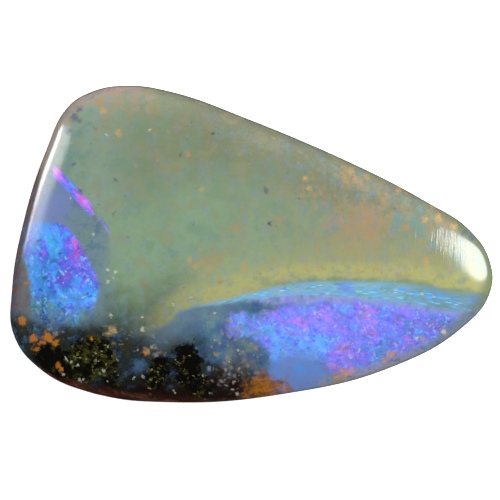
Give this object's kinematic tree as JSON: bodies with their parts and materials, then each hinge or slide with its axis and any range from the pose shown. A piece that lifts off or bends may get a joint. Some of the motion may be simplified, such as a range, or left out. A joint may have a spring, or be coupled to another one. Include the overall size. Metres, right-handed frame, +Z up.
{
  "type": "polished boulder opal cabochon",
  "caption": "Freeform polished boulder opal: a low-domed cabochon with a rounded-triangle outline, a steep ironstone wall and a flat ground back.",
  "frame": {"origin": "on the surface that the ground back rests on, under the middle of the outline's box", "axes": "+Z up out of the domed face, +X along the stone towards its narrow end, +Y across it towards the straight side"},
  "size_m": [0.03, 0.0196, 0.0044],
  "materials": {
    "opal": "polished"
  },
  "bodies": {
    "root": {"boulder_opal": "opal"}
  },
  "joints": []
}
